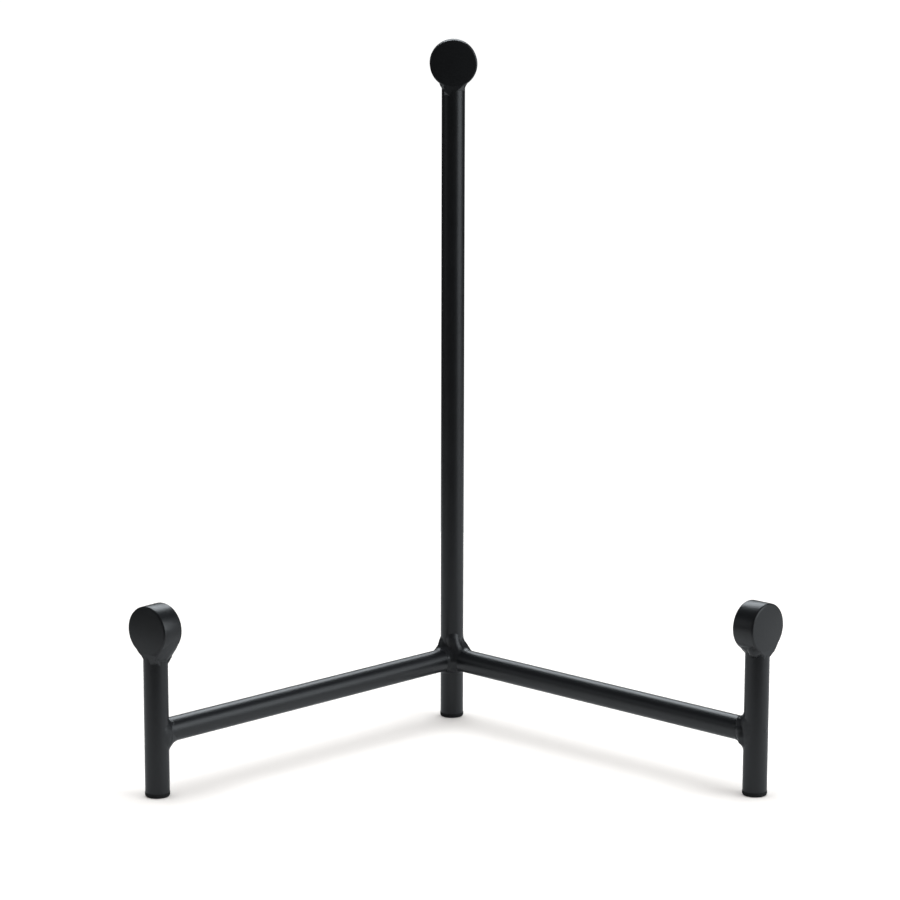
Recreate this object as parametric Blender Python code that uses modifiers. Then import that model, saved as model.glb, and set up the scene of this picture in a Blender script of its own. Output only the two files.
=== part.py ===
"""Plate display stand: three uprights of round steel bar, two level arms that join them in a V, and a
disc standing on its edge on top of each upright. Every bar, disc, weld and foot is its own solid.

Units are metres. +Z is up, the front is towards -Y, and the origin is on the table in the middle of the
stand's plan, so the mirror plane is X = 0.
"""

from math import cos, hypot, pi, radians, sin, sqrt

import bmesh
import bpy

# Driving dimensions
BAR_DIAMETER = 0.010
ARM_REACH = 0.121  # a front post stands this far to the side of the back post, and as far in front of it
ARM_HEIGHT = 0.0263  # centre line of both arms above the table
TOP_DISC_HEIGHT = 0.2875  # centre of the disc above the table
LEFT_DISC_HEIGHT = 0.0692
RIGHT_DISC_HEIGHT = 0.0701
DISC_DIAMETER = 0.0203
DISC_THICKNESS = 0.0104
DISC_EDGE = 0.0008  # rounding of a disc's two rims
LEFT_DISC_TURN = radians(39)  # a front disc's axis, turned outwards from straight ahead
RIGHT_DISC_TURN = radians(45)
ARM_TURN = radians(45)

FOOT_DIAMETER = 0.0102
FOOT_HEIGHT = 0.0018
FOOT_EDGE = 0.0009  # rounding of the foot's lower rim

HUB_WELD_LEG = 0.0036  # how far a fillet spreads along the bar that the arm's end meets
HUB_WELD_LIFT = 0.0005  # the fillet's upper side is fuller than its lower side by twice this
FRONT_WELD_LEG = 0.0030
FRONT_WELD_LIFT = 0.0002
WELD_LIP = 0.0008  # height of a fillet's thin end above the arm, its gap included
WELD_SIDE_SHARE = 0.12  # how much of its spread beyond that lip a fillet keeps at the arm's sides
DISC_WELD_DROP = 0.0020  # how far a disc's bead reaches down its post, from the disc's lowest point
DISC_WELD_WIDTH = 0.0012

GAP = 0.0003  # clearance kept between neighbouring solids

BAR_SIDES = 48
DISC_SIDES = 64
WELD_SIDES = 40
ROUND_STEPS = 4  # straight pieces in a quarter round
FILLET_STEPS = 6  # straight pieces in a weld's hollow face
BEVEL_STEPS = 2  # straight pieces in a disc's rim
SHARP_ANGLE = radians(40)  # an edge steeper than this isn't shaded smooth
MERGE_DISTANCE = 0.00001

# Worked out from the dimensions above
BAR_RADIUS = BAR_DIAMETER / 2
DISC_RADIUS = DISC_DIAMETER / 2
FOOT_RADIUS = FOOT_DIAMETER / 2
CLEARANCE_RADIUS = BAR_RADIUS + GAP
FRONT_OVERHANG = DISC_RADIUS * sin(RIGHT_DISC_TURN) + DISC_THICKNESS / 2 * cos(RIGHT_DISC_TURN)
BACK_POST_Y = (ARM_REACH + FRONT_OVERHANG - DISC_THICKNESS / 2) / 2
FRONT_POST_Y = BACK_POST_Y - ARM_REACH
ARM_LENGTH = sqrt(2) * ARM_REACH

LEFT, RIGHT = -1, 1
SIDE_NAMES = {LEFT: "left", RIGHT: "right"}
DISC_TURNS = {LEFT: -LEFT_DISC_TURN, RIGHT: RIGHT_DISC_TURN}
DISC_HEIGHTS = {LEFT: LEFT_DISC_HEIGHT, RIGHT: RIGHT_DISC_HEIGHT}

# Finishes: linear colour, roughness and metallic value
POWDER_COAT = ((0.017, 0.018, 0.020), 0.42, 0.3)
WELD_COAT = ((0.020, 0.021, 0.023), 0.50, 0.3)
FOOT_RUBBER = ((0.006, 0.006, 0.006), 0.80, 0.0)


def clear_scene():
    for old in list(bpy.data.objects):
        bpy.data.objects.remove(old, do_unlink=True)


def new_collection(name):
    made = bpy.data.collections.new(name)
    bpy.context.scene.collection.children.link(made)
    return made


def new_material(name, finish):
    colour, roughness, metallic = finish
    made = bpy.data.materials.new(name)
    made.use_nodes = True
    shader = made.node_tree.nodes["Principled BSDF"]
    shader.inputs["Base Color"].default_value = (*colour, 1)
    shader.inputs["Roughness"].default_value = roughness
    shader.inputs["Metallic"].default_value = metallic
    return made


def move_to(made, name, collection):
    """Names the object and leaves it in this collection only."""
    made.name = name
    made.data.name = name
    for holder in list(made.users_collection):
        holder.objects.unlink(made)
    collection.objects.link(made)
    return made


def finish_part(made, name, finish):
    move_to(made, name, PARTS)
    made.data.materials.clear()
    made.data.materials.append(new_material(name, finish))
    made.data.shade_smooth()
    made.data.set_sharp_from_angle(angle=SHARP_ANGLE)
    made.parent = STAND
    return made


def finish_cutter(made, name):
    move_to(made, name, CUTTERS)
    made.hide_render = True
    made.display_type = "WIRE"
    return made


def cylinder(radius, depth, sides, location, rotation=(0, 0, 0)):
    bpy.ops.mesh.primitive_cylinder_add(
        vertices=sides, radius=radius, depth=depth, location=location, rotation=rotation
    )
    return bpy.context.object


def level(turn):
    """Rotation that lays an object's +Z level, turned from straight ahead towards +X, with its +Y up."""
    return (pi / 2, 0, turn)


def turned(outline, sides):
    """A solid turned about its own Z from (radius, height) points that run from its top to its bottom."""
    profile = bmesh.new()
    points = [profile.verts.new((radius, 0, height)) for radius, height in outline]
    for upper, lower in zip(points, points[1:]):
        profile.edges.new((upper, lower))
    mesh = bpy.data.meshes.new("profile")
    profile.to_mesh(mesh)
    profile.free()
    made = bpy.data.objects.new("profile", mesh)
    bpy.context.scene.collection.objects.link(made)
    screw = made.modifiers.new("turn", "SCREW")
    screw.steps = sides
    screw.render_steps = sides
    screw.use_merge_vertices = True
    screw.merge_threshold = MERGE_DISTANCE
    return made


def squeezed(made, lip, side_share):
    """The turned solid with all that lies beyond a radius of lip drawn in towards it, most at the two
    sides (its own X) and not at all above and below (its own Y)."""
    graph = bpy.context.evaluated_depsgraph_get()
    mesh = bpy.data.meshes.new_from_object(made.evaluated_get(graph))
    made.modifiers.clear()
    made.data = mesh
    for vertex in mesh.vertices:
        radius = hypot(vertex.co.x, vertex.co.y)
        if radius > lip:
            upright = (vertex.co.y / radius) ** 2
            kept = side_share + (1 - side_share) * upright
            shrink = (lip + (radius - lip) * kept) / radius
            vertex.co.x *= shrink
            vertex.co.y *= shrink
    return made


def cut(part, *cutters):
    for cutter in cutters:
        boolean = part.modifiers.new("cut by " + cutter.name, "BOOLEAN")
        boolean.operation = "DIFFERENCE"
        boolean.object = cutter


def post_place(side):
    """(x, y) of a front post, or of the back post for side 0."""
    return (side * ARM_REACH, FRONT_POST_Y if side else BACK_POST_Y)


def post_clearance(name, place):
    made = cylinder(CLEARANCE_RADIUS, 2 * TOP_DISC_HEIGHT, BAR_SIDES, (*place, 0))
    return finish_cutter(made, name + "_clearance")


def disc_clearance(name, place, height, turn):
    made = cylinder(DISC_RADIUS + GAP, 2 * DISC_THICKNESS, DISC_SIDES, (*place, height), level(turn))
    return finish_cutter(made, name + "_clearance")


def arm_clearance(side):
    made = arm_cylinder(side, CLEARANCE_RADIUS)
    return finish_cutter(made, SIDE_NAMES[side] + "_arm_clearance")


def hub_mitre(side):
    """A block on the far side of the mirror plane, which keeps the two arms' ends apart."""
    size = 2 * BAR_DIAMETER
    centre_x = -side * (size - GAP) / 2
    bpy.ops.mesh.primitive_cube_add(size=size, location=(centre_x, BACK_POST_Y, ARM_HEIGHT))
    return finish_cutter(bpy.context.object, SIDE_NAMES[side] + "_mitre")


def post(name, place, disc_height, disc_cutter):
    """A bar from the top of its foot up into the saddle under its disc."""
    bottom = FOOT_HEIGHT + GAP
    depth = disc_height - bottom
    made = cylinder(BAR_RADIUS, depth, BAR_SIDES, (*place, bottom + depth / 2))
    cut(made, disc_cutter)
    return finish_part(made, name, POWDER_COAT)


def foot(name, place):
    """A thin rubber tip with a rounded lower rim."""
    outline = [(0, FOOT_HEIGHT), (FOOT_RADIUS, FOOT_HEIGHT)]
    for step in range(ROUND_STEPS + 1):
        angle = pi / 2 * step / ROUND_STEPS
        radius = FOOT_RADIUS - FOOT_EDGE * (1 - cos(angle))
        outline.append((radius, FOOT_EDGE * (1 - sin(angle))))
    outline.append((0, 0))
    made = turned(outline, BAR_SIDES)
    made.location = (*place, 0)
    return finish_part(made, name, FOOT_RUBBER)


def disc(name, place, height, turn):
    made = cylinder(DISC_RADIUS, DISC_THICKNESS, DISC_SIDES, (*place, height), level(turn))
    bevel = made.modifiers.new("rounded rims", "BEVEL")
    bevel.width = DISC_EDGE
    bevel.segments = BEVEL_STEPS
    bevel.limit_method = "ANGLE"
    bevel.angle_limit = SHARP_ANGLE
    return finish_part(made, name, POWDER_COAT)


def disc_weld(name, place, height, post_cutter, disc_cutter):
    """The bead round a post's top end: it widens upwards and is saddled to the disc."""
    bottom = height - DISC_RADIUS - DISC_WELD_DROP
    top = height - DISC_RADIUS / 2
    wide = CLEARANCE_RADIUS + DISC_WELD_WIDTH
    outline = [(0, top), (wide, top), (wide, bottom + DISC_WELD_DROP)]
    for step in range(1, ROUND_STEPS + 1):
        angle = pi / 2 * step / ROUND_STEPS
        radius = wide - (DISC_WELD_WIDTH - GAP) * sin(angle)
        outline.append((radius, bottom + DISC_WELD_DROP * cos(angle)))
    outline.append((0, bottom))
    made = turned(outline, WELD_SIDES)
    made.location = (*place, 0)
    cut(made, post_cutter, disc_cutter)
    return finish_part(made, name, WELD_COAT)


def arm_cylinder(side, radius):
    centre = (side * ARM_REACH / 2, BACK_POST_Y - ARM_REACH / 2, ARM_HEIGHT)
    return cylinder(radius, ARM_LENGTH, BAR_SIDES, centre, level(side * ARM_TURN))


def arm(side, *cutters):
    made = arm_cylinder(side, BAR_RADIUS)
    cut(made, *cutters)
    return finish_part(made, SIDE_NAMES[side] + "_arm", POWDER_COAT)


def arm_weld(name, place, turn, leg, lift, *cutters):
    """A hollow fillet where an arm's end meets a post. It spreads on the post above and below the arm,
    and stays thin at the arm's sides, where the two bars' surfaces run into each other."""
    lip = BAR_RADIUS + WELD_LIP
    outline = [(0, BAR_RADIUS + leg), (lip, BAR_RADIUS + leg)]
    for step in range(1, FILLET_STEPS + 1):
        angle = pi / 2 * step / FILLET_STEPS
        outline.append((lip + (leg - WELD_LIP) * (1 - cos(angle)), BAR_RADIUS + leg * (1 - sin(angle))))
    outline += [(BAR_RADIUS + leg, 0), (0, 0)]
    made = squeezed(turned(outline, WELD_SIDES), lip, WELD_SIDE_SHARE)
    made.location = (*place, ARM_HEIGHT + lift)
    made.rotation_euler = level(turn)
    cut(made, *cutters)
    return finish_part(made, name, WELD_COAT)


clear_scene()
PARTS = new_collection("plate_display_stand")
CUTTERS = new_collection("cutters")
STAND = bpy.data.objects.new("stand", None)
PARTS.objects.link(STAND)

# The back post, with its foot and disc
hub_cutter = post_clearance("back_post", post_place(0))
top_cutter = disc_clearance("top_disc", post_place(0), TOP_DISC_HEIGHT, 0)
post("back_post", post_place(0), TOP_DISC_HEIGHT, top_cutter)
foot("back_foot", post_place(0))
disc("top_disc", post_place(0), TOP_DISC_HEIGHT, 0)
disc_weld("top_disc_weld", post_place(0), TOP_DISC_HEIGHT, hub_cutter, top_cutter)

# Each front post with its foot and disc, and the arm that joins it to the back post
for side, side_name in SIDE_NAMES.items():
    place = post_place(side)
    disc_turn = DISC_TURNS[side]
    disc_height = DISC_HEIGHTS[side]
    post_cutter = post_clearance(side_name + "_front_post", place)
    disc_cutter = disc_clearance(side_name + "_disc", place, disc_height, disc_turn)
    post(side_name + "_front_post", place, disc_height, disc_cutter)
    foot(side_name + "_foot", place)
    disc(side_name + "_disc", place, disc_height, disc_turn)
    disc_weld(side_name + "_disc_weld", place, disc_height, post_cutter, disc_cutter)

    arm_cutter = arm_clearance(side)
    mitre = hub_mitre(side)
    arm(side, hub_cutter, post_cutter, mitre)
    arm_weld(
        side_name + "_hub_weld", post_place(0), side * ARM_TURN,
        HUB_WELD_LEG, HUB_WELD_LIFT, arm_cutter, hub_cutter, mitre,
    )
    arm_weld(
        side_name + "_arm_weld", place, side * ARM_TURN + pi,
        FRONT_WELD_LEG, FRONT_WELD_LIFT, arm_cutter, post_cutter,
    )
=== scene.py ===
from math import pi, radians

import bmesh
import bpy
import numpy
from mathutils import Matrix, Vector, noise


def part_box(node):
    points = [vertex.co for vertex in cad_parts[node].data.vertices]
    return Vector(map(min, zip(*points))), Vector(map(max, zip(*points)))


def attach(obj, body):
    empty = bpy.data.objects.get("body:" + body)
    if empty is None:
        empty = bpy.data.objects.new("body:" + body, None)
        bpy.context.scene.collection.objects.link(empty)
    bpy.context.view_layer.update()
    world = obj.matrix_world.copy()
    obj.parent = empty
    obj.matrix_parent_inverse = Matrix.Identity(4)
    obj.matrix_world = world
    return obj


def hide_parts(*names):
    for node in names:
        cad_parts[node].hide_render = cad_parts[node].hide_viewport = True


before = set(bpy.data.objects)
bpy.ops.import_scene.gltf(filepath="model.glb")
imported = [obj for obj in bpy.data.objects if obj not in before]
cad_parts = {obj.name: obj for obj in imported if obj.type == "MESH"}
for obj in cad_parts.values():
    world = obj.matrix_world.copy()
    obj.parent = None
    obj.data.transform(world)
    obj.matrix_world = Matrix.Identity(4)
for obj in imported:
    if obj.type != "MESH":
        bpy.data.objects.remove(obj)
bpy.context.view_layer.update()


# Posts: three uprights of solid round steel bar, one tall at the back and two short in front. They are
# sawn to length and, with the rest of the stand, sprayed with one coat of satin black powder paint,
# which bakes to a fine orange peel with a few specks in it.
BAR_SIDES = 96
POST_HIDDEN_IN_DISC = 0.0035
POST_HIDDEN_IN_FOOT = 0.0006
POWDER_BLACK = (0.0045, 0.0049, 0.0057)
POWDER_THIN = (0.0066, 0.0071, 0.0081)
POWDER_ROUGHNESS = 0.36
GRAIN_SCALE = 3600
CLOUD_SCALE = 70
SPECK_SCALE = 260
SPECK_EDGE = 0.06
SPECK_CORE = 0.03
MIX_COLOR_A = 6  # a Mix node's colour sockets are reached by number
MIX_COLOR_B = 7
MIX_COLOR_RESULT = 2
SHARP_ANGLE = radians(50)


def coat_texture():
    """Orange peel, cloudy sheen and rare specks, as height, roughness and colour over the surface."""
    group = bpy.data.node_groups.new("coat_texture", "ShaderNodeTree")
    face = group.interface
    for name, kind, value in (
        ("Body Color", "NodeSocketColor", (0, 0, 0, 1)),
        ("Thin Color", "NodeSocketColor", (0, 0, 0, 1)),
        ("Roughness", "NodeSocketFloat", 0.4),
        ("Cloudiness", "NodeSocketFloat", 0.05),
        ("Peel Scale", "NodeSocketFloat", 900.0),
        ("Grain Share", "NodeSocketFloat", 0.3),
    ):
        face.new_socket(name=name, in_out="INPUT", socket_type=kind).default_value = value
    for name, kind in (("Color", "NodeSocketColor"), ("Roughness", "NodeSocketFloat"),
                       ("Height", "NodeSocketFloat")):
        face.new_socket(name=name, in_out="OUTPUT", socket_type=kind)
    nodes, link = group.nodes, group.links.new
    given = nodes.new("NodeGroupInput")
    result = nodes.new("NodeGroupOutput")
    place = nodes.new("ShaderNodeTexCoord").outputs["Object"]

    peel = nodes.new("ShaderNodeTexNoise")
    peel.inputs["Detail"].default_value = 1.5
    link(place, peel.inputs["Vector"])
    link(given.outputs["Peel Scale"], peel.inputs["Scale"])
    grain = nodes.new("ShaderNodeTexNoise")
    grain.inputs["Scale"].default_value = GRAIN_SCALE
    grain.inputs["Detail"].default_value = 2
    link(place, grain.inputs["Vector"])
    height = nodes.new("ShaderNodeMix")
    link(given.outputs["Grain Share"], height.inputs["Factor"])
    link(peel.outputs["Fac"], height.inputs["A"])
    link(grain.outputs["Fac"], height.inputs["B"])
    link(height.outputs["Result"], result.inputs["Height"])

    clouds = nodes.new("ShaderNodeTexNoise")
    clouds.inputs["Scale"].default_value = CLOUD_SCALE
    clouds.inputs["Detail"].default_value = 3
    link(place, clouds.inputs["Vector"])
    swing = nodes.new("ShaderNodeMath")
    swing.operation = "SUBTRACT"
    swing.inputs[1].default_value = 0.5
    link(clouds.outputs["Fac"], swing.inputs[0])
    rough = nodes.new("ShaderNodeMath")
    rough.operation = "MULTIPLY_ADD"
    link(swing.outputs[0], rough.inputs[0])
    link(given.outputs["Cloudiness"], rough.inputs[1])
    link(given.outputs["Roughness"], rough.inputs[2])
    link(rough.outputs[0], result.inputs["Roughness"])

    specks = nodes.new("ShaderNodeTexVoronoi")
    specks.inputs["Scale"].default_value = SPECK_SCALE
    link(place, specks.inputs["Vector"])
    rare = nodes.new("ShaderNodeMapRange")
    rare.inputs["From Min"].default_value = SPECK_EDGE
    rare.inputs["From Max"].default_value = SPECK_CORE
    link(specks.outputs["Distance"], rare.inputs["Value"])
    thin = nodes.new("ShaderNodeMath")
    thin.operation = "MAXIMUM"
    link(clouds.outputs["Fac"], thin.inputs[0])
    link(rare.outputs["Result"], thin.inputs[1])
    tone = nodes.new("ShaderNodeMix")
    tone.data_type = "RGBA"
    link(thin.outputs[0], tone.inputs["Factor"])
    link(given.outputs["Body Color"], tone.inputs[MIX_COLOR_A])
    link(given.outputs["Thin Color"], tone.inputs[MIX_COLOR_B])
    link(tone.outputs[MIX_COLOR_RESULT], result.inputs["Color"])
    return group


COAT_TEXTURE = coat_texture()


def coated_steel(name, body, thin, roughness, cloudiness, peel_scale, grain_share, peel_height):
    """A powder-coated finish: the shared texture with this finish's own values."""
    made = bpy.data.materials.new(name)
    made.use_nodes = True
    nodes, link = made.node_tree.nodes, made.node_tree.links.new
    shader = nodes["Principled BSDF"]
    shader.inputs["Metallic"].default_value = 0
    shader.inputs["IOR"].default_value = 1.5
    texture = nodes.new("ShaderNodeGroup")
    texture.node_tree = COAT_TEXTURE
    texture.inputs["Body Color"].default_value = (*body, 1)
    texture.inputs["Thin Color"].default_value = (*thin, 1)
    texture.inputs["Roughness"].default_value = roughness
    texture.inputs["Cloudiness"].default_value = cloudiness
    texture.inputs["Peel Scale"].default_value = peel_scale
    texture.inputs["Grain Share"].default_value = grain_share
    bump = nodes.new("ShaderNodeBump")
    bump.inputs["Strength"].default_value = 1
    bump.inputs["Distance"].default_value = peel_height
    link(texture.outputs["Height"], bump.inputs["Height"])
    link(texture.outputs["Color"], shader.inputs["Base Color"])
    link(texture.outputs["Roughness"], shader.inputs["Roughness"])
    link(bump.outputs["Normal"], shader.inputs["Normal"])
    return made


POWDER_COAT = coated_steel("satin_black_powder", POWDER_BLACK, POWDER_THIN, POWDER_ROUGHNESS,
                           cloudiness=0.08, peel_scale=950, grain_share=0.3, peel_height=0.00002)


def fit_piece(made, name, material, slot, *stands_for):
    """Turns a bmesh into a finished piece of the stand, shown in place of its CAD nodes."""
    mesh = bpy.data.meshes.new(name)
    made.to_mesh(mesh)
    made.free()
    piece = bpy.data.objects.new(name, mesh)
    bpy.context.scene.collection.objects.link(piece)
    mesh.materials.append(material)
    mesh.shade_smooth()
    mesh.set_sharp_from_angle(angle=SHARP_ANGLE)
    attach(piece, "root")
    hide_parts(*stands_for)
    return piece


def round_bar(start, end, radius):
    """A solid round bar between two points, as a bmesh."""
    made = bmesh.new()
    run = end - start
    bmesh.ops.create_cone(made, cap_ends=True, segments=BAR_SIDES, radius1=radius, radius2=radius,
                          depth=run.length)
    turn = run.to_track_quat("Z", "Y").to_matrix().to_4x4()
    bmesh.ops.transform(made, matrix=Matrix.Translation((start + end) / 2) @ turn, verts=made.verts)
    return made


BAR_RADIUS = (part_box("back_post")[1].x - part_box("back_post")[0].x) / 2
DISC_OF = {"back_post": "top_disc", "left_front_post": "left_disc", "right_front_post": "right_disc"}
FOOT_OF = {"back_post": "back_foot", "left_front_post": "left_foot", "right_front_post": "right_foot"}
post_centre = {}
for post_name in DISC_OF:
    low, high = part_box(post_name)
    post_centre[post_name] = Vector(((low.x + high.x) / 2, (low.y + high.y) / 2, 0))
    bottom = post_centre[post_name].copy()
    bottom.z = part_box(FOOT_OF[post_name])[1].z - POST_HIDDEN_IN_FOOT
    top = post_centre[post_name].copy()
    top.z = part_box(DISC_OF[post_name])[0].z + POST_HIDDEN_IN_DISC
    fit_piece(round_bar(bottom, top, BAR_RADIUS), post_name, POWDER_COAT, "powder_coat", post_name)


# Arms: two level bars of the same steel that run in a V from low on the back post to the front posts.
# Their ends are hidden in the posts and the welds.
ARM_HIDDEN_IN_POST = 0.0015
arm_height = (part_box("left_arm")[0].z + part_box("left_arm")[1].z) / 2
ARM_OF = {"left_front_post": "left_arm", "right_front_post": "right_arm"}
hub = post_centre["back_post"] + Vector((0, 0, arm_height))
joint_of = {}
for post_name, arm_name in ARM_OF.items():
    joint = post_centre[post_name] + Vector((0, 0, arm_height))
    joint_of[post_name] = joint
    along = (joint - hub).normalized()
    start = hub + along * ARM_HIDDEN_IN_POST
    end = joint - along * ARM_HIDDEN_IN_POST
    fit_piece(round_bar(start, end, BAR_RADIUS), arm_name, POWDER_COAT, "powder_coat", arm_name)


# Hub weld: one mass of weld metal that joins both arms to the back post. Its fillets are hollow above
# and below the arms, a narrow web fills the crotch between them, and a ridge runs down to the right arm.
# It is left as it was laid, slightly lumpy under the paint.
WELD_BLACK = (0.0066, 0.0071, 0.0081)
WELD_THIN = (0.0100, 0.0107, 0.0119)
WELD_ROUGHNESS = 0.38
WELD_COAT = coated_steel("coated_weld_bead", WELD_BLACK, WELD_THIN, WELD_ROUGHNESS, cloudiness=0.16,
                         peel_scale=620, grain_share=0.25, peel_height=0.00005)
WELD_TUCK = 0.00012  # a bead's edge dips this far into the bar beside it
WELD_LUMP = 0.00006  # height of the lumps along a bead
WELD_START = 0.003  # an arm counts as solid from this far out of its post's middle
WELD_MESH_LEVEL = 6
WELD_STEPS = 50  # a ray is walked in this many steps,
WELD_HALVINGS = 8  # and the step it ends in is halved this often
TINY = 1e-9


def outside_bar(points, start, end, radius):
    """How far each point is outside a round bar with round ends; less than 0 is inside."""
    start, end = numpy.array(start), numpy.array(end)
    run = end - start
    share = numpy.clip((points - start) @ run / (run @ run), 0, 1)
    return numpy.linalg.norm(points - start - share[:, None] * run, axis=1) - radius


def lump_noise(points, size, seed):
    """Smooth noise from about -1 to 1, with lumps of the given size."""
    shift = Vector((seed * 7.31, seed * 3.17, seed * 5.73))
    return numpy.array([noise.noise(Vector(p) / size + shift) for p in points])


def lay_weld(heart, metal, reach):
    """A closed lump of weld metal round heart. Every ray from there ends where metal() turns negative."""
    made = bmesh.new()
    bmesh.ops.create_icosphere(made, subdivisions=WELD_MESH_LEVEL, radius=1)
    rays = numpy.array([v.co for v in made.verts])
    rays /= numpy.linalg.norm(rays, axis=1)[:, None]
    heart = numpy.array(heart)
    near = numpy.zeros(len(rays))
    open_rays = numpy.ones(len(rays), bool)
    far = numpy.full(len(rays), reach)
    steps = numpy.linspace(0, reach, WELD_STEPS)[1:]
    for low_step, high_step in zip([0.0, *steps[:-1]], steps):
        rows = numpy.flatnonzero(open_rays)
        if not len(rows):
            break
        gone = metal(heart + rays[rows] * high_step) < 0
        near[rows] = low_step
        far[rows] = high_step
        open_rays[rows[gone]] = False
        near[rows[~gone]] = high_step
    crossing = numpy.flatnonzero(far > near)
    for _ in range(WELD_HALVINGS):
        middle = (near[crossing] + far[crossing]) / 2
        solid = metal(heart + rays[crossing] * middle[:, None]) > 0
        near[crossing[solid]] = middle[solid]
        far[crossing[~solid]] = middle[~solid]
    surface = heart + rays * near[:, None]
    for vertex, place in zip(made.verts, surface):
        vertex.co = place
    return made


def joined(distances, legs, hollow):
    """Above 0 inside the blend of several shapes; each shape's fillet spreads leg away from it. A hollow
    of 1 makes flat fillets and of 2 round ones."""
    total = 0
    for distance, leg in zip(distances, legs):
        total = total + numpy.maximum(1 - distance / leg, 0) ** hollow
    return total ** (1 / hollow) - 1


HUB_UP_POST = 0.0074  # how far the fillets above the arms spread up the post
HUB_ALONG_ARM = {-1: 0.0076, 1: 0.0100}  # to the left and to the right
HUB_DOWN_POST = 0.0030
HUB_BELOW_ARM = 0.0042
HUB_SIDE = 0.0016
HUB_WEB = 0.0044
HUB_FADE = 0.003  # the fillets and the web grow to full size over this distance
HUB_WEB_START = 0.0035  # this far in front of the post's middle
HUB_WEB_REACH = 1.6  # the web ends this many fades either side of the middle
HUB_UNEVEN = 0.12  # the share by which the fillets' size wanders
HUB_LUMP_SIZE = 0.0028
HUB_GRAIN_SIZE = 0.0015
HUB_RIDGE = [Vector((0.0003, -0.0034, 0.0094)), Vector((0.0028, -0.0050, 0.0026))]
HUB_RIDGE_RADIUS = 0.0023
HUB_RIDGE_LEG = 0.0012
HUB_HOLLOW = 2.3
HUB_HEART = Vector((0, -0.0025, 0.001))
HUB_REACH = 0.0155
HUB_STUB = Vector((0, 0, 0.05))  # the length of post above the hub that the fillets lean on


def hub_metal(points):
    """Above 0 inside the weld metal at the hub."""
    away = points - numpy.array(hub)
    flat = numpy.maximum(numpy.linalg.norm(away[:, :2], axis=1), TINY)
    sideways = (away[:, 0] / flat) ** 2
    above = numpy.clip(away[:, 2] / HUB_FADE, 0, 1) * sideways
    below = numpy.clip(-away[:, 2] / HUB_FADE, 0, 1) * sideways
    in_front = numpy.clip((-away[:, 1] - HUB_WEB_START) / HUB_FADE, 0, 1)
    in_middle = numpy.clip(HUB_WEB_REACH - abs(away[:, 0]) / HUB_FADE, 0, 1)
    side = HUB_SIDE + (HUB_WEB - HUB_SIDE) * (in_front * in_middle)
    along_arm = numpy.where(away[:, 0] > 0, HUB_ALONG_ARM[1], HUB_ALONG_ARM[-1])
    lumps = 1 + HUB_UNEVEN * lump_noise(points, HUB_LUMP_SIZE, seed=3)
    up_leg = (side + (HUB_UP_POST - side) * above + (HUB_DOWN_POST - side) * below) * lumps
    along_leg = (side + (along_arm - side) * above + (HUB_BELOW_ARM - side) * below) * lumps
    fine = WELD_LUMP * lump_noise(points, HUB_GRAIN_SIZE, seed=5)
    tuck = WELD_TUCK - fine
    upright = outside_bar(points, post_centre["back_post"], hub + HUB_STUB, BAR_RADIUS)
    distances = [upright + tuck]
    for joint in joint_of.values():
        begin = hub + (joint - hub).normalized() * WELD_START
        distances.append(outside_bar(points, begin, joint, BAR_RADIUS) + tuck)
    ridge = outside_bar(points, hub + HUB_RIDGE[0], hub + HUB_RIDGE[1], HUB_RIDGE_RADIUS) - fine
    legs = [along_leg, up_leg, up_leg, HUB_RIDGE_LEG * lumps]
    return joined([*distances, ridge], legs, HUB_HOLLOW)


fit_piece(lay_weld(hub + HUB_HEART, hub_metal, HUB_REACH), "hub_weld", WELD_COAT,
          "coated_weld", "left_hub_weld", "right_hub_weld")


# Front welds: a bead round each arm where it meets its front post. Both fill the corner below the arm.
# The right one also stands higher above the arm and has a teardrop down the seam that faces forwards.
FRONT_ABOVE = {"left_front_post": 0.0014, "right_front_post": 0.0050}
FRONT_DOWN_POST = 0.0042
FRONT_ALONG_ARM = 0.0056  # the fillet below an arm spreads this far along it
FRONT_SIDE = {"left_front_post": 0.0022, "right_front_post": 0.0024}
TEARDROP = [(0.0060, 0.0030, 0.0038), (0.0047, 0.0042, 0.0008), (0.0040, 0.0044, -0.0018),
            (0.0040, 0.0040, -0.0036)]
TEARDROP_RADII = {"left_front_post": (0.0001, 0.0001, 0.0001),
                  "right_front_post": (0.0009, 0.0015, 0.0012)}
TEARDROP_LEG = 0.0010
FRONT_LOW = 1.3  # how soon below the arm's middle the lower fillet is at full size
FRONT_FADE = 0.004  # and how far out of the post
FRONT_UNEVEN = 0.08
FRONT_LUMP_SIZE = 0.0026
FRONT_LUMP_SEED = 11
FRONT_GRAIN_SIZE = 0.0016
FRONT_GRAIN_SEED = 17
FRONT_HOLLOW = 2
FRONT_HEART = 0.0015
FRONT_REACH = 0.0115
FRONT_STUB = Vector((0, 0, 0.03))
WELD_OF = {"left_front_post": "left_arm_weld", "right_front_post": "right_arm_weld"}
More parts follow.
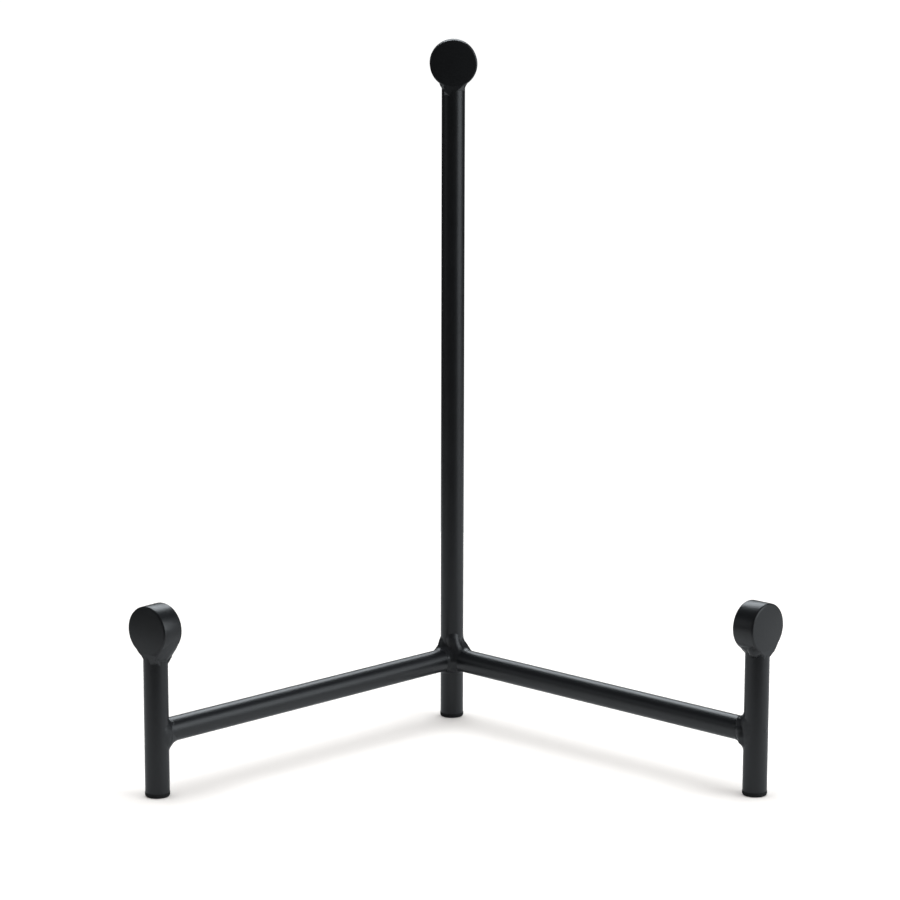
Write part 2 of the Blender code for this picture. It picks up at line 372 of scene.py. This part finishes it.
for seed, (post_name, joint) in enumerate(joint_of.items()):
    towards_hub = (hub - joint).normalized()
    forwards = towards_hub.cross(Vector((0, 0, 1)))
    forwards = forwards if forwards.y < 0 else -forwards
    seam = [joint + towards_hub * out + forwards * front + Vector((0, 0, rise))
            for out, front, rise in TEARDROP]

    def front_metal(points):
        """Above 0 inside the weld metal at this joint."""
        rise = points[:, 2] - joint.z
        across = (points - numpy.array(joint)) @ numpy.array(forwards)
        tilt = rise / numpy.maximum(numpy.hypot(rise, across), TINY)
        side = FRONT_SIDE[post_name]
        lumps = 1 + FRONT_UNEVEN * lump_noise(points, FRONT_LUMP_SIZE, FRONT_LUMP_SEED + seed)
        leg = side + (FRONT_ABOVE[post_name] - side) * numpy.maximum(tilt, 0) ** 2
        outwards = (points - numpy.array(joint)) @ numpy.array(towards_hub)
        low = numpy.clip(-FRONT_LOW * tilt, 0, 1) * numpy.clip(outwards / FRONT_FADE, 0, 1)
        down_post = (leg + (FRONT_DOWN_POST - leg) * low) * lumps
        along_arm = (leg + (FRONT_ALONG_ARM - leg) * low) * lumps
        fine = WELD_LUMP * lump_noise(points, FRONT_GRAIN_SIZE, FRONT_GRAIN_SEED + seed)
        tuck = WELD_TUCK - fine
        upright = outside_bar(points, post_centre[post_name], joint + FRONT_STUB, BAR_RADIUS)
        arm = outside_bar(points, joint + towards_hub * WELD_START, hub, BAR_RADIUS)
        bead = numpy.min([outside_bar(points, upper, lower, radius) for upper, lower, radius
                          in zip(seam, seam[1:], TEARDROP_RADII[post_name])], axis=0)
        legs = [along_arm, down_post, TEARDROP_LEG * lumps]
        return joined([upright + tuck, arm + tuck, bead - fine], legs, FRONT_HOLLOW)

    weld_name = WELD_OF[post_name]
    fit_piece(lay_weld(joint + towards_hub * FRONT_HEART, front_metal, FRONT_REACH), weld_name, WELD_COAT,
              "coated_weld", weld_name)


# Discs: a slice of round steel bar stands on its edge on each post, its rims dressed round. A plate
# leans against the top one, and the front two stop it sliding forwards.
DISC_SIDES = 144
DISC_RIM = 0.0008
DISC_RIM_STEPS = 5
LEVEL_WITHIN = 1e-6
DISC_RADIUS = (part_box("top_disc")[1].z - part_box("top_disc")[0].z) / 2
DISC_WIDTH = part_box("top_disc")[1].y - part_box("top_disc")[0].y
DISC_TURN = {"top_disc": 0, "left_disc": radians(-39), "right_disc": radians(45)}
disc_centre = {}
for disc_name, turn in DISC_TURN.items():
    low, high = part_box(disc_name)
    disc_centre[disc_name] = (low + high) / 2
    made = bmesh.new()
    bmesh.ops.create_cone(made, cap_ends=True, segments=DISC_SIDES, radius1=DISC_RADIUS,
                          radius2=DISC_RADIUS, depth=DISC_WIDTH)
    rims = [e for e in made.edges if abs(e.verts[0].co.z - e.verts[1].co.z) < LEVEL_WITHIN]
    bmesh.ops.bevel(made, geom=rims, offset=DISC_RIM, offset_type="OFFSET", segments=DISC_RIM_STEPS,
                    profile=0.5, affect="EDGES", material=-1)
    stand_up = Matrix.Rotation(turn, 4, "Z") @ Matrix.Rotation(pi / 2, 4, "X")
    bmesh.ops.transform(made, matrix=Matrix.Translation(disc_centre[disc_name]) @ stand_up,
                        verts=made.verts)
    fit_piece(made, disc_name, POWDER_COAT, "powder_coat", disc_name)


# Disc welds: each disc sits in a bead that fills the notch either side of its post's top. In front and
# behind, the metal is dressed flush with the disc and runs down the post to a point. The right disc's
# bead has a small lump on its left.
DISC_WELD_OF = {"back_post": "top_disc_weld", "left_front_post": "left_disc_weld",
                "right_front_post": "right_disc_weld"}
DISC_WELD_DOWN = {"top_disc": 0.0019, "left_disc": 0.0036, "right_disc": 0.0027}
DISC_WELD_ASIDE = {"top_disc": 0.0016, "left_disc": 0.0046, "right_disc": 0.0040}
DISC_WELD_LEFT = {"top_disc": 1, "left_disc": 0.6, "right_disc": 0.6}  # the left side's share of that
DISC_WELD_FADE = 0.003
DISC_WELD_UNEVEN = 0.05
DISC_WELD_LUMP_SIZE = 0.0030
DISC_WELD_SEED = 23
DISC_WELD_HOLLOW = 1.2
DISC_WELD_HEART = 0.0012  # above the disc's lowest point
DISC_WELD_REACH = 0.0108
DISC_WELD_STUB = Vector((0, 0, 0.01))
POINT_DROP = {"top_disc": 0.0034, "left_disc": 0.0034, "right_disc": 0.0024}  # below the disc
POINT_SLOPE = {"top_disc": 0.85, "left_disc": 0.5, "right_disc": 0.5}
POINT_EDGE = {"top_disc": 0.0040, "left_disc": 0.0020, "right_disc": 0.0020}  # where it ends on the left
POINT_ASIDE = {"top_disc": 0.0012, "left_disc": 0.0002, "right_disc": 0.0004}
POINT_RIGHT_EDGE = 0.0046
POINT_SCALE = 0.001  # turns a distance into the blend's own measure
LUMP_RADIUS = {"top_disc": 0, "left_disc": 0, "right_disc": 0.0019}
LUMP_ASIDE = 0.0049
LUMP_FORWARDS = 0.0022
LUMP_UP = 0.0010
LUMP_LEG = 0.0016
FLUSH_GAP = 0.00001  # the bead stays this far behind the disc's face,
FLUSH_TAPER = 0.12  # and falls away below it by this share
FLUSH_START = 0.0008


def outside_disc(points, centre, axis, radius, half_width, rim):
    """How far each point is outside a disc with rounded rims."""
    away = points - numpy.array(centre)
    along = away @ numpy.array(axis)
    around = numpy.linalg.norm(away - along[:, None] * numpy.array(axis), axis=1)
    over = numpy.stack([around - (radius - rim), abs(along) - (half_width - rim)], axis=1)
    outer = numpy.linalg.norm(numpy.maximum(over, 0), axis=1)
    return outer + numpy.minimum(over.max(axis=1), 0) - rim


for seed, (post_name, disc_name) in enumerate(DISC_OF.items()):
    axis = Vector((0, -1, 0))
    axis.rotate(Matrix.Rotation(DISC_TURN[disc_name], 3, "Z"))
    aside = Vector((0, 0, 1)).cross(-axis)
    centre = disc_centre[disc_name]
    heart = centre - Vector((0, 0, DISC_RADIUS - DISC_WELD_HEART))
    lump_centre = (centre + aside * LUMP_ASIDE + axis * LUMP_FORWARDS
                   - Vector((0, 0, DISC_RADIUS - LUMP_UP)))

    def disc_weld_metal(points):
        """Above 0 inside the weld metal under this disc."""
        away = points - numpy.array(centre)
        sideways = away @ numpy.array(aside)
        under = -away[:, 2] - DISC_RADIUS
        depth = DISC_WIDTH / 2 - abs(away @ numpy.array(axis))
        lumps = lump_noise(points, DISC_WELD_LUMP_SIZE, DISC_WELD_SEED + seed)
        tuck = WELD_TUCK - WELD_LUMP * lumps
        disc = outside_disc(points, centre, axis, DISC_RADIUS, DISC_WIDTH / 2, DISC_RIM) + tuck
        upright = outside_bar(points, post_centre[post_name], heart + DISC_WELD_STUB, BAR_RADIUS) + tuck
        lump = numpy.linalg.norm(points - numpy.array(lump_centre), axis=1) - LUMP_RADIUS[disc_name]
        on_left = numpy.clip(sideways / DISC_WELD_FADE, 0, 1)
        share = 1 + (DISC_WELD_LEFT[disc_name] - 1) * on_left + DISC_WELD_UNEVEN * lumps
        legs = [DISC_WELD_DOWN[disc_name] * share, DISC_WELD_ASIDE[disc_name] * share, LUMP_LEG * share]
        filled = joined([disc, upright, lump], legs, DISC_WELD_HOLLOW)
        point = (POINT_DROP[disc_name] - under
                 - POINT_SLOPE[disc_name] * abs(sideways - POINT_ASIDE[disc_name]) + depth)
        edges = numpy.minimum(POINT_EDGE[disc_name] - sideways, POINT_RIGHT_EDGE + sideways)
        point = numpy.minimum(point, edges)
        flush = depth - FLUSH_GAP - FLUSH_TAPER * numpy.maximum(under + FLUSH_START, 0)
        return numpy.minimum(numpy.maximum(filled, point / POINT_SCALE), flush / POINT_SCALE)

    weld_name = DISC_WELD_OF[post_name]
    fit_piece(lay_weld(heart, disc_weld_metal, DISC_WELD_REACH), weld_name, WELD_COAT,
              "coated_weld", weld_name)


# Feet: a thin black rubber pad is stuck under each post, a hair wider than the bar, with its lower rim
# rounded.
FOOT_RIM = 0.0009
FOOT_RIM_STEPS = 6
FOOT_LEVEL_WITHIN = 1e-5
RUBBER_DARK = (0.0035, 0.0035, 0.0036, 1)
RUBBER_LIGHT = (0.0075, 0.0075, 0.0077, 1)
RUBBER_SMOOTHEST = 0.72
RUBBER_ROUGHEST = 0.9
RUBBER_GRAIN_SCALE = 2600
RUBBER_GRAIN_HEIGHT = 0.00003
FOOT_RUBBER = bpy.data.materials.new("foot_rubber")
FOOT_RUBBER.use_nodes = True
rubber_nodes, rubber_link = FOOT_RUBBER.node_tree.nodes, FOOT_RUBBER.node_tree.links.new
rubber = rubber_nodes["Principled BSDF"]
rubber.inputs["IOR"].default_value = 1.45
rubber_place = rubber_nodes.new("ShaderNodeTexCoord").outputs["Object"]
rubber_grain = rubber_nodes.new("ShaderNodeTexNoise")
rubber_grain.inputs["Scale"].default_value = RUBBER_GRAIN_SCALE
rubber_grain.inputs["Detail"].default_value = 3
rubber_link(rubber_place, rubber_grain.inputs["Vector"])
rubber_tone = rubber_nodes.new("ShaderNodeValToRGB")
rubber_tone.color_ramp.elements[0].color = RUBBER_DARK
rubber_tone.color_ramp.elements[1].color = RUBBER_LIGHT
rubber_link(rubber_grain.outputs["Fac"], rubber_tone.inputs["Fac"])
rubber_link(rubber_tone.outputs["Color"], rubber.inputs["Base Color"])
rubber_sheen = rubber_nodes.new("ShaderNodeMapRange")
rubber_sheen.inputs["To Min"].default_value = RUBBER_SMOOTHEST
rubber_sheen.inputs["To Max"].default_value = RUBBER_ROUGHEST
rubber_link(rubber_grain.outputs["Fac"], rubber_sheen.inputs["Value"])
rubber_link(rubber_sheen.outputs["Result"], rubber.inputs["Roughness"])
rubber_bump = rubber_nodes.new("ShaderNodeBump")
rubber_bump.inputs["Distance"].default_value = RUBBER_GRAIN_HEIGHT
rubber_link(rubber_grain.outputs["Fac"], rubber_bump.inputs["Height"])
rubber_link(rubber_bump.outputs["Normal"], rubber.inputs["Normal"])
for foot_name in FOOT_OF.values():
    low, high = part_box(foot_name)
    made = bmesh.new()
    bmesh.ops.create_cone(made, cap_ends=True, segments=BAR_SIDES, radius1=(high.x - low.x) / 2,
                          radius2=(high.x - low.x) / 2, depth=high.z - low.z)
    bmesh.ops.translate(made, vec=(low + high) / 2, verts=made.verts)
    lower_rim = [e for e in made.edges if max(v.co.z for v in e.verts) < low.z + FOOT_LEVEL_WITHIN]
    bmesh.ops.bevel(made, geom=lower_rim, offset=FOOT_RIM, offset_type="OFFSET",
                    segments=FOOT_RIM_STEPS, profile=0.5, affect="EDGES", material=-1)
    fit_piece(made, foot_name, FOOT_RUBBER, "foot_rubber", foot_name)


# Studio: a sheet of white paper under the stand, a wide soft light overhead that the gloss doesn't show,
# one high behind that only the gloss shows, along the tops of the arms, a broad one to the right and a
# weak one to the left. The paper and the room are dimmer in reflections than to the eye.
FLOOR_FRONT = -0.21
FLOOR_BACK = 0.45
FLOOR_LEFT = -0.38
FLOOR_RIGHT = 0.75
PAPER_SEEN = (0.860, 0.808, 0.765, 1)
PAPER_REFLECTED = (0.50, 0.50, 0.50, 1)
made = bmesh.new()
bmesh.ops.create_grid(made, x_segments=1, y_segments=1, size=1)
half_sheet = ((FLOOR_RIGHT - FLOOR_LEFT) / 2, (FLOOR_BACK - FLOOR_FRONT) / 2, 1)
sheet_middle = ((FLOOR_RIGHT + FLOOR_LEFT) / 2, (FLOOR_BACK + FLOOR_FRONT) / 2, 0)
bmesh.ops.scale(made, vec=half_sheet, verts=made.verts)
bmesh.ops.translate(made, vec=sheet_middle, verts=made.verts)
sheet_mesh = bpy.data.meshes.new("floor")
made.to_mesh(sheet_mesh)
made.free()
paper_sheet = bpy.data.objects.new("floor", sheet_mesh)
bpy.context.scene.collection.objects.link(paper_sheet)
paper = bpy.data.materials.new("white_paper")
paper.use_nodes = True
paper_nodes, paper_link = paper.node_tree.nodes, paper.node_tree.links.new
paper_shader = paper_nodes["Principled BSDF"]
paper_shader.inputs["Roughness"].default_value = 1
paper_shader.inputs["Specular IOR Level"].default_value = 0
paper_path = paper_nodes.new("ShaderNodeLightPath")
paper_tone = paper_nodes.new("ShaderNodeMix")
paper_tone.data_type = "RGBA"
paper_tone.inputs[MIX_COLOR_A].default_value = PAPER_REFLECTED
paper_tone.inputs[MIX_COLOR_B].default_value = PAPER_SEEN
paper_link(paper_path.outputs["Is Camera Ray"], paper_tone.inputs["Factor"])
paper_link(paper_tone.outputs[MIX_COLOR_RESULT], paper_shader.inputs["Base Color"])
sheet_mesh.materials.append(paper)

STAND_MIDDLE = Vector((0, 0, 0.12))
COOL_WHITE = (0.89, 0.95, 1)
BACKDROP_STRENGTH = 1.05
ROOM_IN_GLOSS = 0.042
ROOM_ON_MATT = 0.45


def soft_light(name, place, width, height, power, gloss_only=False):
    """A rectangular soft light that faces the stand."""
    lamp = bpy.data.lights.new(name, "AREA")
    lamp.shape = "RECTANGLE"
    lamp.size = width
    lamp.size_y = height
    lamp.energy = power
    lamp.color = COOL_WHITE
    holder = bpy.data.objects.new(name, lamp)
    bpy.context.scene.collection.objects.link(holder)
    holder.location = place
    holder.rotation_euler = (STAND_MIDDLE - Vector(place)).to_track_quat("-Z", "Y").to_euler()
    holder.visible_diffuse = not gloss_only
    return holder


overhead = soft_light("overhead_light", (0, 0.25, 1.5), width=1.8, height=1.4, power=32)
overhead.visible_glossy = False
soft_light("back_light", (0, 1.3, 1.25), width=0.95, height=1.0, power=14, gloss_only=True)
soft_light("right_light", (1.15, -0.42, 0.5), width=1.05, height=0.9, power=9.2)
soft_light("left_light", (-1.55, -0.2, 0.5), width=0.8, height=0.7, power=0.9)

world = bpy.data.worlds.new("studio")
bpy.context.scene.world = world
world.use_nodes = True
world_nodes, world_link = world.node_tree.nodes, world.node_tree.links.new
room = world_nodes["Background"]
room.inputs["Color"].default_value = (1, 1, 1, 1)
backdrop = world_nodes.new("ShaderNodeBackground")
backdrop.inputs["Color"].default_value = (1, 1, 1, 1)
backdrop.inputs["Strength"].default_value = BACKDROP_STRENGTH
seen = world_nodes.new("ShaderNodeLightPath")
fill = world_nodes.new("ShaderNodeMapRange")
fill.inputs["To Min"].default_value = ROOM_IN_GLOSS
fill.inputs["To Max"].default_value = ROOM_ON_MATT
choose = world_nodes.new("ShaderNodeMixShader")
world_link(seen.outputs["Is Diffuse Ray"], fill.inputs["Value"])
world_link(fill.outputs["Result"], room.inputs["Strength"])
world_link(seen.outputs["Is Camera Ray"], choose.inputs["Fac"])
world_link(room.outputs["Background"], choose.inputs[1])
world_link(backdrop.outputs["Background"], choose.inputs[2])
world_link(choose.outputs["Shader"], world_nodes["World Output"].inputs["Surface"])

bpy.context.scene.view_settings.view_transform = "Standard"
bpy.context.scene.view_settings.look = "None"


# Camera: a long lens in front of the stand, a little above the top disc's height. It looks slightly down
# and is placed from the middle of the back post's foot.
LENS_LENGTH = 124.67
CAMERA_FROM_POST = Vector((-0.022237, -1.337179, 0.369518))
CAMERA_TURN = radians(-0.907)
CAMERA_DOWN = 10.583
CAMERA_ROLL = radians(0.140)
lens = bpy.data.cameras.new("camera")
lens.lens = LENS_LENGTH
lens.sensor_width = 36
camera = bpy.data.objects.new("camera", lens)
bpy.context.scene.collection.objects.link(camera)
camera.matrix_world = (Matrix.Translation(post_centre["back_post"] + CAMERA_FROM_POST)
                       @ Matrix.Rotation(CAMERA_TURN, 4, "Z")
                       @ Matrix.Rotation(radians(90 - CAMERA_DOWN), 4, "X")
                       @ Matrix.Rotation(CAMERA_ROLL, 4, "Z"))
bpy.context.scene.camera = camera
